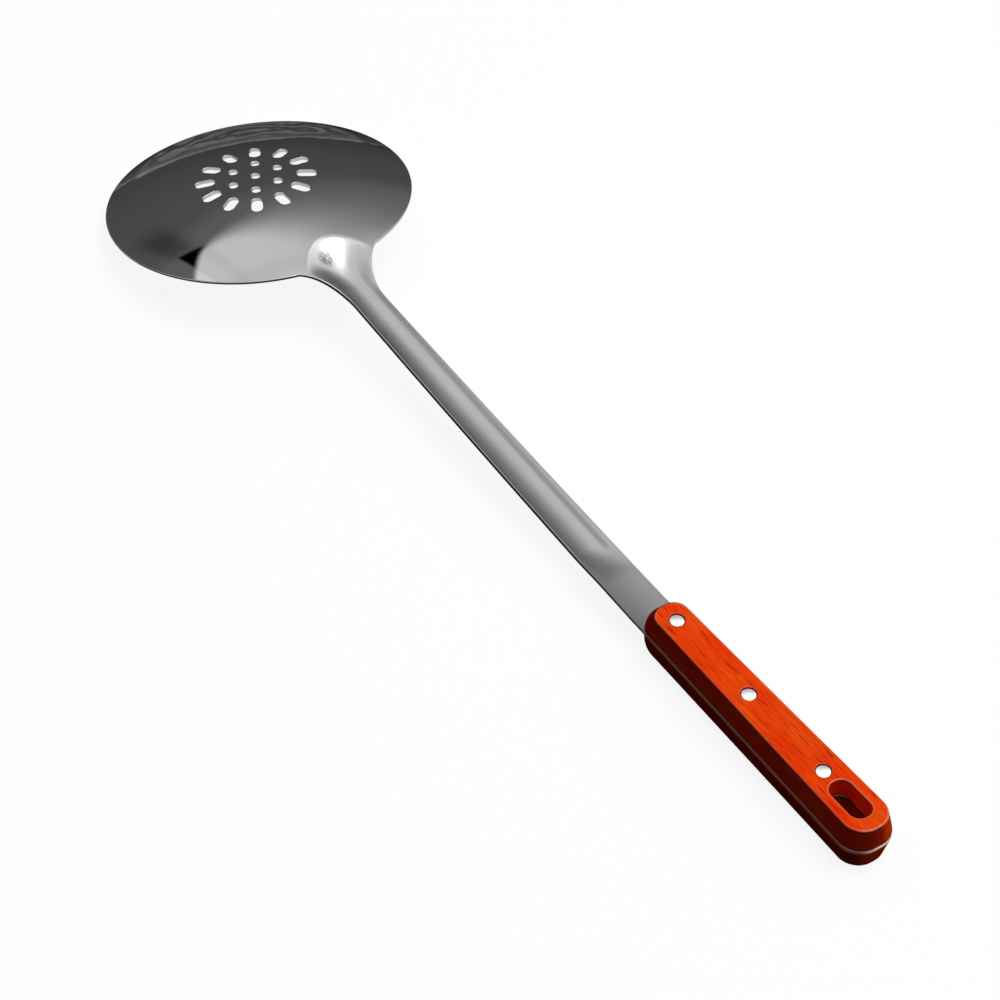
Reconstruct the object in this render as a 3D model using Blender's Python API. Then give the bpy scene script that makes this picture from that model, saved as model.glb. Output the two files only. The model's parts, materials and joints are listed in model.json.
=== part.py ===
"""Perforated kitchen skimmer with a riveted wooden grip, lying on a table dome side up.

One pressed sheet makes the bowl, the shank and the flat tang.
Two wooden scales sandwich the tang, and three two-piece rivets hold them.
Metres, +Z up. The table is z = 0, the handle runs along Y and the bowl is at +Y.
A station is a distance from the bowl's centre towards the handle's end, seen from above.
"""
import math

import bpy
import bmesh
from mathutils import Matrix, Vector
from mathutils.geometry import delaunay_2d_cdt

# Bowl: a shallow spherical cap, tipped so that its far rim touches the table
SHEET = 0.0015
BOWL_RADIUS = 0.065
BOWL_DEPTH = 0.0114
BOWL_TILT = math.radians(11.1)

# Drain holes: a ring of radial slots round a ring of small holes
SLOT_COUNT = 12
SLOT_RING_RADIUS = 0.0215
SLOT_LENGTH = 0.0087
SLOT_WIDTH = 0.0048
SMALL_HOLE_COUNT = 6
SMALL_HOLE_RING_RADIUS = 0.0108
SMALL_HOLE_RADIUS = 0.00205

# Neck: the flare between the rim and the shank, where the sheet sinks below the bowl's curve
NECK_LENGTH = 0.0222
NECK_FILLET = 0.032
NOSE_LENGTH = 0.0155
NOSE_HALF_WIDTH = 0.0165
SINK_LENGTH = 0.026
SINK_EASE = 0.7

# Shank: a shallow gutter, open upwards, that runs out into the flat tang
SHANK_LENGTH = 0.1968
GUTTER_DEPTH = 0.0016
EDGE_BELOW_RIM = 0.0033
NECK_HALF = 0.0067
SHANK_BOW = 0.30
FADE_LENGTH = 0.020
BARE_TANG_LENGTH = 0.023
TANG_BEND = 0.012

# Grip: two wooden scales, each narrower at its outer face
SCALE_THICKNESS = 0.0087
GRIP_FRONT_HALF = 0.0087
GRIP_REAR_HALF = 0.0110
GRIP_FRONT_CORNER = 0.0052
GRIP_REAR_CORNER = 0.0092
SCALE_DRAFT = 0.0016
SCALE_EDGE_BEVEL = 0.0004
SEAT_GAP = 0.0003

# Rivets, and the slot that the tool hangs by
RIVET_NAMES = ("front", "middle", "rear")
RIVET_FROM_FRONT = 0.0113
RIVET_PITCH = 0.0439
RIVET_HEAD_RADIUS = 0.0030
RIVET_HEAD_HEIGHT = 0.0012
RIVET_CROWN = 0.0003
RIVET_BARREL_RADIUS = 0.0020
RIVET_BORE_RADIUS = 0.0013
RIVET_RECESS = 0.0001
RIVET_CLEARANCE = 0.0003
HANG_SLOT_LENGTH = 0.0192
HANG_SLOT_WIDTH = 0.0095
HANG_SLOT_CORNER = 0.0044
WALL_RIVET_TO_SLOT = 0.0027
WALL_SLOT_TO_END = 0.0079

# Mesh fineness
RIM_STEPS = 84
RING_SPACING = 0.0065
STATION_SPACING = 0.0062
NOSE_SPACING = 0.0034
ACROSS_STEPS = 5
HOLE_STEPS = 12
CORNER_STEPS = 5
RIVET_STEPS = 24
SHARP_ANGLE = math.radians(32)

# Heights and stations that follow from the sizes above
SPHERE_RADIUS = (BOWL_RADIUS ** 2 + BOWL_DEPTH ** 2) / (2 * BOWL_DEPTH)
RIM_SLOPE = math.asin(BOWL_RADIUS / SPHERE_RADIUS)
RIM_CENTRE_Z = BOWL_RADIUS * math.sin(BOWL_TILT) + SHEET * math.cos(BOWL_TILT + RIM_SLOPE)
SPHERE_Y = (BOWL_DEPTH - SPHERE_RADIUS) * math.sin(BOWL_TILT)
SPHERE_Z = RIM_CENTRE_Z + (BOWL_DEPTH - SPHERE_RADIUS) * math.cos(BOWL_TILT)
TANG_BOTTOM = SCALE_THICKNESS + SEAT_GAP
TANG_TOP = TANG_BOTTOM + SHEET
GRIP_TOP = TANG_TOP + SEAT_GAP + SCALE_THICKNESS
RIM_STATION = BOWL_RADIUS * math.cos(BOWL_TILT)
NECK_END = RIM_STATION + NECK_LENGTH
GRIP_FRONT = NECK_END + SHANK_LENGTH
FLAT_START = GRIP_FRONT - BARE_TANG_LENGTH
FADE_START = FLAT_START - FADE_LENGTH
RIVET_STATIONS = [GRIP_FRONT + RIVET_FROM_FRONT + RIVET_PITCH * i for i in range(len(RIVET_NAMES))]
HEAD_POCKET_RADIUS = RIVET_HEAD_RADIUS + RIVET_CLEARANCE
RIVET_HOLE_RADIUS = RIVET_BARREL_RADIUS + RIVET_CLEARANCE
HANG_SLOT_START = RIVET_STATIONS[-1] + HEAD_POCKET_RADIUS + WALL_RIVET_TO_SLOT
HANG_SLOT_STATION = HANG_SLOT_START + HANG_SLOT_LENGTH / 2
GRIP_END = HANG_SLOT_START + HANG_SLOT_LENGTH + WALL_SLOT_TO_END
EDGE_AT_RIM_Z = RIM_CENTRE_Z + BOWL_RADIUS * math.sin(BOWL_TILT) - EDGE_BELOW_RIM

# The middle of the whole length is the origin
BOWL_Y = (GRIP_END - RIM_STATION) / 2


def smooth(value, start, end):
    """A soft step from 0 at start to 1 at end."""
    f = min(max((value - start) / (end - start), 0.0), 1.0)
    return f * f * (3.0 - 2.0 * f)


def mix(a, b, f):
    return a + (b - a) * f


# The pressed sheet's shape

def grip_half(station):
    f = (station - GRIP_FRONT) / (GRIP_END - GRIP_FRONT)
    return mix(GRIP_FRONT_HALF, GRIP_REAR_HALF, f)


def sheet_half(station):
    """Half the sheet's width behind the bowl. It flares out at the neck."""
    if station >= GRIP_FRONT:
        return grip_half(station)
    if station >= NECK_END:
        return mix(NECK_HALF, GRIP_FRONT_HALF, (station - NECK_END) / SHANK_LENGTH)
    before = min(NECK_END - station, NECK_FILLET)
    return NECK_HALF + NECK_FILLET - math.sqrt(NECK_FILLET ** 2 - before ** 2)


def cap_z(x, station):
    """Height of the bowl's sphere over a point of the table."""
    across = x * x + (station + SPHERE_Y) ** 2
    return SPHERE_Z + math.sqrt(SPHERE_RADIUS ** 2 - across)


def soft_ramp(distance):
    """A straight rise that starts with a gentle bend."""
    d = max(distance, 0.0)
    return d * d / (d + TANG_BEND)


def edge_z(station):
    """Height of the shank's edges, from the flat tang up to the neck."""
    f = soft_ramp(GRIP_FRONT - station) / soft_ramp(GRIP_FRONT - RIM_STATION)
    return TANG_TOP + (EDGE_AT_RIM_Z - TANG_TOP) * mix(f, f * f, SHANK_BOW)


def shank_z(x, station):
    """Height of the shallow gutter, which flattens out before the grip."""
    depth = GUTTER_DEPTH * (1.0 - smooth(station, FADE_START, FLAT_START))
    q = x / sheet_half(station)
    return edge_z(station) - depth * (1.0 - q * q)


def sunk(x, station):
    """How far the sheet has gone from the bowl's curve, 0, to the shank's, 1. The middle goes first."""
    nose = RIM_STATION - NOSE_LENGTH * (1.0 - (x / NOSE_HALF_WIDTH) ** 2)
    f = min(max((station - nose) / SINK_LENGTH, 0.0), 1.0)
    middle = smooth(f ** SINK_EASE, 0.0, 1.0)
    edge = smooth(station, RIM_STATION, NECK_END)
    q = min(abs(x) / sheet_half(station), 1.0)
    return mix(middle, edge, q * q)


def formed(x, station):
    """Place of a point of the flat blank once the sheet is pressed."""
    share = sunk(x, station)
    z = shank_z(x, station)
    if share < 1.0:
        z = mix(cap_z(x, station), z, share)
    return Vector((x, -station, z))


def bowl_point(x, y):
    """Station of a point of the bowl, given in the plane of its rim."""
    height = math.sqrt(SPHERE_RADIUS ** 2 - x * x - y * y) - SPHERE_RADIUS + BOWL_DEPTH
    return (x, -(y * math.cos(BOWL_TILT) + height * math.sin(BOWL_TILT)))


# Outlines in the flat blank, as (across, station) points

def arc(centre, radius, start, end, steps):
    """Points of an arc, both ends included. Angles in degrees."""
    angles = [math.radians(mix(start, end, i / steps)) for i in range(steps + 1)]
    return [(centre[0] + radius * math.cos(a), centre[1] + radius * math.sin(a)) for a in angles]


def circle(centre, radius, steps):
    return arc(centre, radius, 0, 360, steps)[:-1]


def rounded_box(centre, half_x, half_y, radius, steps):
    """A rectangle with rounded corners."""
    points = []
    for turn, (sx, sy) in enumerate(((1, 1), (-1, 1), (-1, -1), (1, -1))):
        corner = (centre[0] + sx * (half_x - radius), centre[1] + sy * (half_y - radius))
        points += arc(corner, radius, 90 * turn, 90 * turn + 90, steps)
    return points


def turned(points, angle):
    cos_a, sin_a = math.cos(angle), math.sin(angle)
    return [(x * cos_a - y * sin_a, x * sin_a + y * cos_a) for x, y in points]


def drain_holes():
    """The bowl's holes, in the plane of its rim."""
    half_length = SLOT_LENGTH / 2
    half_width = SLOT_WIDTH / 2
    ends = HOLE_STEPS // 2
    slot = arc((half_length - half_width, 0), half_width, -90, 90, ends)
    slot += arc((half_width - half_length, 0), half_width, 90, 270, ends)
    slot = [(x + SLOT_RING_RADIUS, y) for x, y in slot]
    holes = [turned(slot, 2 * math.pi * i / SLOT_COUNT) for i in range(SLOT_COUNT)]
    small = circle((SMALL_HOLE_RING_RADIUS, 0), SMALL_HOLE_RADIUS, HOLE_STEPS)
    holes += [turned(small, 2 * math.pi * i / SMALL_HOLE_COUNT) for i in range(SMALL_HOLE_COUNT)]
    holes.append(circle((0, 0), SMALL_HOLE_RADIUS, HOLE_STEPS))
    return holes


def hang_slot():
    centre = (0, HANG_SLOT_STATION)
    half_width = HANG_SLOT_WIDTH / 2
    half_length = HANG_SLOT_LENGTH / 2
    return rounded_box(centre, half_width, half_length, HANG_SLOT_CORNER, CORNER_STEPS)


def rim_joint():
    """Station where the neck's flare meets the rim."""
    low = RIM_STATION / 2
    high = RIM_STATION
    for _ in range(50):
        middle = (low + high) / 2
        rim_x = BOWL_RADIUS * math.sqrt(1.0 - (middle / RIM_STATION) ** 2)
        if rim_x > sheet_half(middle):
            low = middle
        else:
            high = middle
    return low


def even_steps(start, end, spacing):
    """Evenly spaced values, both ends included."""
    count = max(int(math.ceil((end - start) / spacing)), 1)
    return [mix(start, end, i / count) for i in range(count + 1)]


def shank_stations():
    """Stations of the rows of points, from the neck to the start of the grip."""
    rows = even_steps(rim_joint(), NECK_END, NOSE_SPACING)
    rows += even_steps(NECK_END, FLAT_START, STATION_SPACING)[1:]
    rows += [GRIP_FRONT - TANG_BEND, GRIP_FRONT]
    return rows


def grip_outline(inset):
    """The grip's outline seen from above, drawn in by the inset."""
    front = GRIP_FRONT + inset
    end = GRIP_END - inset
    front_half = grip_half(front) - inset
    rear_half = grip_half(end) - inset
    front_r = GRIP_FRONT_CORNER - inset / 2
    rear_r = GRIP_REAR_CORNER - inset / 2
    points = arc((rear_half - rear_r, end - rear_r), rear_r, 0, 90, CORNER_STEPS + 2)
    points += arc((rear_r - rear_half, end - rear_r), rear_r, 90, 180, CORNER_STEPS + 2)
    points += arc((front_r - front_half, front + front_r), front_r, 180, 270, CORNER_STEPS)
    points += arc((front_half - front_r, front + front_r), front_r, 270, 360, CORNER_STEPS)
    return points


def blank_outline(rows):
    """The whole sheet's outline: the rim, both sides of the handle, and its rear end."""
    joint = rows[0]
    joint_angle = math.asin(joint / RIM_STATION)
    sweep = math.pi + 2 * joint_angle
    rim = []
    for i in range(1, RIM_STEPS):
        angle = joint_angle - sweep * i / RIM_STEPS
        rim.append((BOWL_RADIUS * math.cos(angle), RIM_STATION * math.sin(angle)))
    left = [(-sheet_half(s), s) for s in rows]
    right = [(sheet_half(s), s) for s in reversed(rows)]
    rear_half = len(grip_outline(0.0)) // 2 + 2
    rear = list(reversed(grip_outline(0.0)[:rear_half]))
    return rim + left + rear + right


# Meshes

def inside(point, loop):
    """Whether a point lies inside a closed loop."""
    x, y = point
    hit = False
    previous = loop[-1]
    for current in loop:
        if (current[1] > y) != (previous[1] > y):
            f = (y - current[1]) / (previous[1] - current[1])
            if x < mix(current[0], previous[0], f):
                hit = not hit
        previous = current
    return hit


def near_loop(point, loop, distance):
    return any(math.dist(point, corner) < distance for corner in loop)


def bowl_points(holes, joint):
    """Points that carry the bowl's curve, clear of the holes and of the nose."""
    points = []
    rings = even_steps(RING_SPACING, BOWL_RADIUS - RING_SPACING * 0.8, RING_SPACING)
    for radius in rings:
        count = max(int(2 * math.pi * radius / RING_SPACING), 8)
        for x, y in circle((0, 0), radius, count):
            point = bowl_point(x, y)
            in_nose = abs(x) < 1.2 * NOSE_HALF_WIDTH and point[1] > RIM_STATION - 1.2 * NOSE_LENGTH
            if not in_nose:
                points.append(point)
    for station in even_steps(RIM_STATION - 1.1 * NOSE_LENGTH, joint - NOSE_SPACING, NOSE_SPACING):
        points += [(x, station) for x in even_steps(-NOSE_HALF_WIDTH, NOSE_HALF_WIDTH, NOSE_SPACING)]
    clear = []
    for point in points:
        blocked = any(inside(point, h) or near_loop(point, h, RING_SPACING / 4) for h in holes)
        if not blocked:
            clear.append(point)
    return clear


def loop_edges(first, count):
    return [(first + i, first + (i + 1) % count) for i in range(count)]


def sheet_mesh():
    """The pressed sheet's upper face: a flat blank with punched holes, then formed."""
    rows = shank_stations()
    outline = blank_outline(rows)
    holes = [[bowl_point(x, y) for x, y in hole] for hole in drain_holes()]
    holes += [circle((0, s), RIVET_HOLE_RADIUS, HOLE_STEPS) for s in RIVET_STATIONS]
    holes.append(hang_slot())
    points = []
    edges = []
    for loop in [outline] + holes:
        edges += loop_edges(len(points), len(loop))
        points += loop
    for station in rows[:-1]:
        half = sheet_half(station)
        points += [(half * i / ACROSS_STEPS, station) for i in range(1 - ACROSS_STEPS, ACROSS_STEPS)]
    points += bowl_points(holes[:-len(RIVET_STATIONS) - 1], rows[0])

    flat = [Vector(p) for p in points]
    verts, _, faces, _, _, _ = delaunay_2d_cdt(flat, edges, [], 0, 1e-7)
    mesh = bmesh.new()
    corners = [mesh.verts.new(formed(v.x, v.y)) for v in verts]
    for face in faces:
        middle = sum((verts[i] for i in face), Vector((0, 0))) / len(face)
        if inside(middle, outline) and not any(inside(middle, hole) for hole in holes):
            mesh.faces.new([corners[i] for i in reversed(face)])
    loose = [v for v in mesh.verts if not v.link_faces]
    bmesh.ops.delete(mesh, geom=loose, context="VERTS")
    return mesh


def stacked_loops(loops):
    """A closed solid through equal loops of 3D points, from the lowest to the highest."""
    mesh = bmesh.new()
    rings = [[mesh.verts.new(p) for p in loop] for loop in loops]
    for lower, upper in zip(rings, rings[1:]):
        for i in range(len(lower)):
            j = (i + 1) % len(lower)
            mesh.faces.new((lower[i], lower[j], upper[j], upper[i]))
    mesh.faces.new(list(reversed(rings[0])))
    mesh.faces.new(rings[-1])
    bmesh.ops.recalc_face_normals(mesh, faces=mesh.faces)
    return mesh


def on_level(points, z):
    """Blank points placed flat at a height."""
    return [Vector((x, -station, z)) for x, station in points]


def turned_solid(profile, steps):
    """A solid of revolution about Z from (radius, height) points that start and end on the axis."""
    mesh = bmesh.new()
    rings = []
    for radius, z in profile:
        if radius == 0.0:
            rings.append([mesh.verts.new((0, 0, z))])
        else:
            rings.append([mesh.verts.new((x, y, z)) for x, y in circle((0, 0), radius, steps)])
    for a, b in zip(rings, rings[1:]):
        for i in range(steps):
            corners = [a[i % len(a)], a[(i + 1) % len(a)], b[(i + 1) % len(b)], b[i % len(b)]]
            mesh.faces.new(list(dict.fromkeys(corners)))
    bmesh.ops.recalc_face_normals(mesh, faces=mesh.faces)
    return mesh


# Objects

def material(name, colour, roughness, metallic):
    result = bpy.data.materials.new(name)
    result.use_nodes = True
    shader = result.node_tree.nodes["Principled BSDF"]
    shader.inputs["Base Color"].default_value = (*colour, 1.0)
    shader.inputs["Roughness"].default_value = roughness
    shader.inputs["Metallic"].default_value = metallic
    return result


def add_object(name, mesh, frame, look=None, location=(0, 0, 0)):
    """An object from a bmesh, placed in the tool's frame and shaded smooth."""
    data = bpy.data.meshes.new(name)
    mesh.to_mesh(data)
    mesh.free()
    data.shade_smooth()
    data.set_sharp_from_angle(angle=SHARP_ANGLE)
    result = bpy.data.objects.new(name, data)
    bpy.context.scene.collection.objects.link(result)
    result.parent = frame
    result.location = location
    if look:
        data.materials.append(look)
    return result


def add_blade(frame):
    """The bowl, shank and tang, pressed from one sheet."""
    steel = material("polished_steel", (0.60, 0.60, 0.59), 0.22, 1.0)
    blade = add_object("blade", sheet_mesh(), frame, steel)
    wall = blade.modifiers.new("sheet", "SOLIDIFY")
    wall.thickness = SHEET
    wall.offset = -1.0
    wall.use_even_offset = True


def scale_cutter(name, frame):
    """Rivet holes with head pockets and the hang slot, for a scale whose outer face is up."""
    pocket_floor = SCALE_THICKNESS - RIVET_RECESS - RIVET_HEAD_HEIGHT - RIVET_CLEARANCE
    over = SCALE_THICKNESS + RIVET_CLEARANCE
    under = -SEAT_GAP
    profile = [(0, under), (RIVET_HOLE_RADIUS, under), (RIVET_HOLE_RADIUS, pocket_floor),
               (HEAD_POCKET_RADIUS, pocket_floor), (HEAD_POCKET_RADIUS, over), (0, over)]
    cutter = stacked_loops([on_level(hang_slot(), under), on_level(hang_slot(), over)])
    for station in RIVET_STATIONS:
        hole = turned_solid(profile, RIVET_STEPS)
        bmesh.ops.translate(hole, verts=hole.verts, vec=(0, -station, 0))
        copy = bpy.data.meshes.new("hole")
        hole.to_mesh(copy)
        hole.free()
        cutter.from_mesh(copy)
        bpy.data.meshes.remove(copy)
    result = add_object(name, cutter, frame)
    result.hide_render = True
    result.display_type = "WIRE"
    return result


def add_scale(name, frame, seat_z, upside_down):
    """One wooden scale, modelled outer face up and turned over for the lower one."""
    wood = material(name + "_wood", (0.62, 0.075, 0.012), 0.32, 0.0)
    shoulder = SCALE_THICKNESS - SCALE_EDGE_BEVEL
    shoulder_inset = SCALE_DRAFT * shoulder / SCALE_THICKNESS
    mesh = stacked_loops([
        on_level(grip_outline(0.0), 0.0),
        on_level(grip_outline(shoulder_inset), shoulder),
        on_level(grip_outline(SCALE_DRAFT + SCALE_EDGE_BEVEL), SCALE_THICKNESS),
    ])
    scale = add_object(name, mesh, frame, wood)
    cutter = scale_cutter(name + "_cutter", frame)
    for piece in (scale, cutter):
        piece.location = (0, 0, seat_z)
        if upside_down:
            piece.data.transform(Matrix.Diagonal((1, 1, -1, 1)))
            piece.data.flip_normals()
    cut = scale.modifiers.new("holes", "BOOLEAN")
    cut.operation = "DIFFERENCE"
    cut.solver = "EXACT"
    cut.object = cutter


def add_rivet(label, frame, station):
    """A two-piece rivet: a barrel from above and a pin from below that goes up its bore."""
    metal = material(label + "_rivet_metal", (0.78, 0.78, 0.77), 0.25, 1.0)
    top = GRIP_TOP - RIVET_RECESS
    bottom = RIVET_RECESS
    under_top_head = top - RIVET_HEAD_HEIGHT
    over_pin_head = bottom + RIVET_HEAD_HEIGHT
    barrel_end = over_pin_head + RIVET_CLEARANCE
    bore_end = under_top_head - RIVET_HEAD_HEIGHT
    pin_radius = RIVET_BORE_RADIUS - RIVET_CLEARANCE
    pin_end = bore_end - RIVET_CLEARANCE
    barrel = [
        (0, top),
        (RIVET_HEAD_RADIUS / 2, top - RIVET_CROWN / 4),
        (RIVET_HEAD_RADIUS, top - RIVET_CROWN),
        (RIVET_HEAD_RADIUS, under_top_head),
        (RIVET_BARREL_RADIUS, under_top_head),
        (RIVET_BARREL_RADIUS, barrel_end),
        (RIVET_BORE_RADIUS, barrel_end),
        (RIVET_BORE_RADIUS, bore_end),
        (0, bore_end),
    ]
    pin = [
        (0, pin_end),
        (pin_radius, pin_end),
        (pin_radius, over_pin_head),
        (RIVET_HEAD_RADIUS, over_pin_head),
        (RIVET_HEAD_RADIUS, bottom + RIVET_CROWN),
        (RIVET_HEAD_RADIUS / 2, bottom + RIVET_CROWN / 4),
        (0, bottom),
    ]
    place = (0, -station, 0)
    add_object(label + "_rivet_barrel", turned_solid(barrel, RIVET_STEPS), frame, metal, place)
    add_object(label + "_rivet_pin", turned_solid(pin, RIVET_STEPS), frame, metal, place)


def main():
    for old in list(bpy.data.objects):
        bpy.data.objects.remove(old, do_unlink=True)
    frame = bpy.data.objects.new("bowl_centre", None)
    bpy.context.scene.collection.objects.link(frame)
    frame.location = (0, BOWL_Y, 0)
    add_blade(frame)
    add_scale("upper_scale", frame, TANG_TOP + SEAT_GAP, upside_down=False)
    add_scale("lower_scale", frame, SCALE_THICKNESS, upside_down=True)
    for label, station in zip(RIVET_NAMES, RIVET_STATIONS):
        add_rivet(label, frame, station)
    bpy.context.view_layer.update()


main()
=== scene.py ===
"""Detailed look of a perforated kitchen skimmer with a riveted wooden grip.

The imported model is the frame. Every node is replaced by a finer piece of the same shape and size.
Metres, +Z up. The table is z = 0, the handle runs along Y and the bowl is at +Y.
A station is a distance from the bowl's centre towards the handle's end, seen from above.
"""
import collections
import functools
import json
import math

import bpy
import numpy as np
from mathutils.geometry import delaunay_2d_cdt
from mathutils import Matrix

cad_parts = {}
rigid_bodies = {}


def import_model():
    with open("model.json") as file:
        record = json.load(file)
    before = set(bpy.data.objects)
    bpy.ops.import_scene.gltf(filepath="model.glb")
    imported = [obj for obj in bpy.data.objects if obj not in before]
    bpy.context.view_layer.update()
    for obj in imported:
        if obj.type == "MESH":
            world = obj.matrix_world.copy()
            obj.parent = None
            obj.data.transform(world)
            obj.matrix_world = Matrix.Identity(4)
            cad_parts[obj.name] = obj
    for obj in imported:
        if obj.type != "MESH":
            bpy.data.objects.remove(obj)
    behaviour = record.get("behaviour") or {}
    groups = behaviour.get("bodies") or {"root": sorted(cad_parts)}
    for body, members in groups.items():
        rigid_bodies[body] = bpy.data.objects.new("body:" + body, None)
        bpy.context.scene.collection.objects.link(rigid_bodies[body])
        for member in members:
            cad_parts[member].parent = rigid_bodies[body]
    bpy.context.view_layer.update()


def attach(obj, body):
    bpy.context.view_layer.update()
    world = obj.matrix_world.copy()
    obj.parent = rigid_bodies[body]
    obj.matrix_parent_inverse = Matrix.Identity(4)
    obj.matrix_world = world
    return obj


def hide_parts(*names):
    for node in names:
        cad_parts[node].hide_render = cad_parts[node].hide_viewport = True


# Bowl
SHEET = 0.0015
BOWL_RADIUS = 0.065
BOWL_DEPTH = 0.0114
BOWL_TILT = math.radians(11.1)

# Drain holes
SLOT_COUNT = 12
SLOT_RING_RADIUS = 0.0215
SLOT_LENGTH = 0.0087
SLOT_WIDTH = 0.0048
SMALL_HOLE_COUNT = 6
SMALL_HOLE_RING_RADIUS = 0.0108
SMALL_HOLE_RADIUS = 0.00205

# Neck and shank
NECK_LENGTH = 0.0222
NECK_FILLET = 0.032
NOSE_LENGTH = 0.0155
NOSE_HALF_WIDTH = 0.0165
SINK_LENGTH = 0.026
SINK_EASE = 0.7
SHANK_LENGTH = 0.1968
GUTTER_DEPTH = 0.0016
EDGE_BELOW_RIM = 0.0033
NECK_HALF = 0.0067
SHANK_BOW = 0.30
FADE_LENGTH = 0.020
BARE_TANG_LENGTH = 0.023
TANG_BEND = 0.012

# Grip
SCALE_THICKNESS = 0.0087
GRIP_FRONT_HALF = 0.0087
GRIP_REAR_HALF = 0.0110
GRIP_FRONT_CORNER = 0.0052
GRIP_REAR_CORNER = 0.0092
SCALE_DRAFT = 0.0016
FRONT_ROUND = 0.0026
FRONT_CORNER_GROWTH = 0.0010
SEAT_GAP = 0.0003

# Rivets and hanging slot
RIVET_NAMES = ("front", "middle", "rear")
RIVET_FROM_FRONT = 0.0113
RIVET_PITCH = 0.0439
RIVET_HEAD_RADIUS = 0.0030
RIVET_HEAD_HEIGHT = 0.0012
RIVET_CROWN = 0.0003
RIVET_BARREL_RADIUS = 0.0020
RIVET_BORE_RADIUS = 0.0013
RIVET_RECESS = 0.0001
RIVET_CLEARANCE = 0.0003
HANG_SLOT_LENGTH = 0.0192
HANG_SLOT_WIDTH = 0.0095
HANG_SLOT_CORNER = 0.0044
WALL_RIVET_TO_SLOT = 0.0027
WALL_SLOT_TO_END = 0.0079

# Rounded edges
RIM_ROUND = 0.00045
HOLE_ROUND = 0.00030
WOOD_ROUND = 0.00065
SLOT_ROUND = 0.00055
POCKET_ROUND = 0.00015
HEAD_ROUND = 0.00045

# Mesh fineness
RIM_STEPS = 260
RING_SPACING = 0.0017
STATION_SPACING = 0.0018
NOSE_SPACING = 0.0009
ACROSS_STEPS = 10
HOLE_STEPS = 28
CORNER_STEPS = 14
ROUND_STEPS = 4
WALL_STEPS = 8
RIVET_STEPS = 48
CROWN_STEPS = 7
HEAD_ROUND_STEPS = 5
LEAST_RING_STEPS = 8
JOINT_ROUNDS = 50
NORMAL_STEP = 0.0004
MERGE_DIGITS = 7
MERGE_DISTANCE = 1e-8

# A cut edge goes from its upper corner, which keeps the sheet's tone, to its face, which takes the cut
# edges' painted shade or highlight, between these angles from the top
EDGE_SHADE_ANGLES = (math.radians(40), math.radians(75))

# Camera: fitted to the photo's rim, holes, rivets and straight edges
CAMERA_PLACE = (-0.58582, -0.79099, 0.97679)
CAMERA_TURN = (44.6815, -1.8859, -34.7754)
CAMERA_LENS = 126.0
CAMERA_SENSOR = 36.0

# Looks: a pair of limits is where a soft step starts and ends, and a share is how much of a tone goes in

# Steel
STEEL_TONES = ((0.42, 0.42, 0.415), (0.48, 0.48, 0.475))
STEEL_GRAZING_TINT = (0.22, 0.22, 0.22, 1.0)
SMEAR_SCALE = (45.0, 45.0, 45.0)
SMEAR_ROUGHNESS = 0.07
BRUSH_SCALE = (1500.0, 22.0, 1500.0)
BRUSH_ROUGHNESS = 0.16
BRUSH_HEIGHT = 0.00001
SHANK_ROUGHNESS = 0.22
TANG_ROUGHNESS = 0.04
CUT_ROUGHNESS = 0.3
ZONE_BLEND = 0.004
HANDLED_TONE = (0.30, 0.30, 0.30)
HANDLED_SHARE = 0.25
# Painted shade along the shank's far flank
FAR_FLANK_SHADE_TONE = (0.18, 0.18, 0.18)
FAR_FLANK_SHADE_SHARE = 0.6
FAR_FLANK_SHADE_RISE = (0.0036, 0.0050)
FAR_FLANK_SHADE_FALL = (0.0056, 0.0072)
FAR_FLANK_SHADE_FADE = 0.006
# The tang is duller, and darker towards its near side as painted shade
TANG_TONES = ((0.17, 0.17, 0.17), (0.32, 0.32, 0.32))
TANG_SHARE = 0.9
TANG_LIMITS = (-0.009, 0.009)

# Scuff on the neck, with its centre as (across, station, 0)
SCUFF_CENTRE = (-0.0030, 0.0580, 0.0)
SCUFF_LIMITS = (0.0015, 0.0050)
SCUFF_TONE = (0.14, 0.14, 0.14)
SPECKLE_SCALE = (700.0, 700.0, 700.0)
SPECKLE_LIMITS = (0.35, 0.60)
SPECKLE_LEAST = 0.35

# Cut edges of the sheet: painted shade, browner in the grip and its slot, and a painted highlight on the
# right
CUT_TONE = (0.030, 0.018, 0.014)
CUT_TONE_IN_GRIP = (0.09, 0.050, 0.034)
CUT_TONE_IN_SLOT = (0.05, 0.020, 0.012)
CUT_HIGHLIGHT_TONE = (0.80, 0.79, 0.77)
CUT_HIGHLIGHT_LIMITS = (-0.008, 0.002)
CUT_SLOT_LIMITS = (0.0100, 0.0106)

# Painted reflection on the far rim: dark tones with paler swirls in a crescent between two arcs, and a
# darker band at the rim, with their centres as (across, station, 0)
MARK_INNER_CENTRE = (-0.0657, 0.1421, 0.0)
MARK_INNER_RADIUS = 0.192
MARK_INNER_LIMITS = (-0.003, 0.003)
MARK_OUTER_CENTRE = (0.0046, -0.0099, 0.0)
MARK_OUTER_RADIUS = 0.053
MARK_OUTER_LIMITS = (-0.001, 0.002)
SWIRL_REFLECTION_TONES = ((0.20, 0.20, 0.20), (0.36, 0.36, 0.355))
MARK_LIMITS = (0.0, 0.012)
MARK_RING_RATE = 900.0
MARK_WARP = 14.0
MARK_WARP_SCALE = (95.0, 95.0, 95.0)
DARK_RIM_REFLECTION_TONE = (0.165, 0.165, 0.165)
PLAIN_RIM_SHIFT = 0.0015
RIPPLE_SCALE = (130.0, 130.0, 130.0)
RIPPLE_HEIGHT = 0.00005

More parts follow.
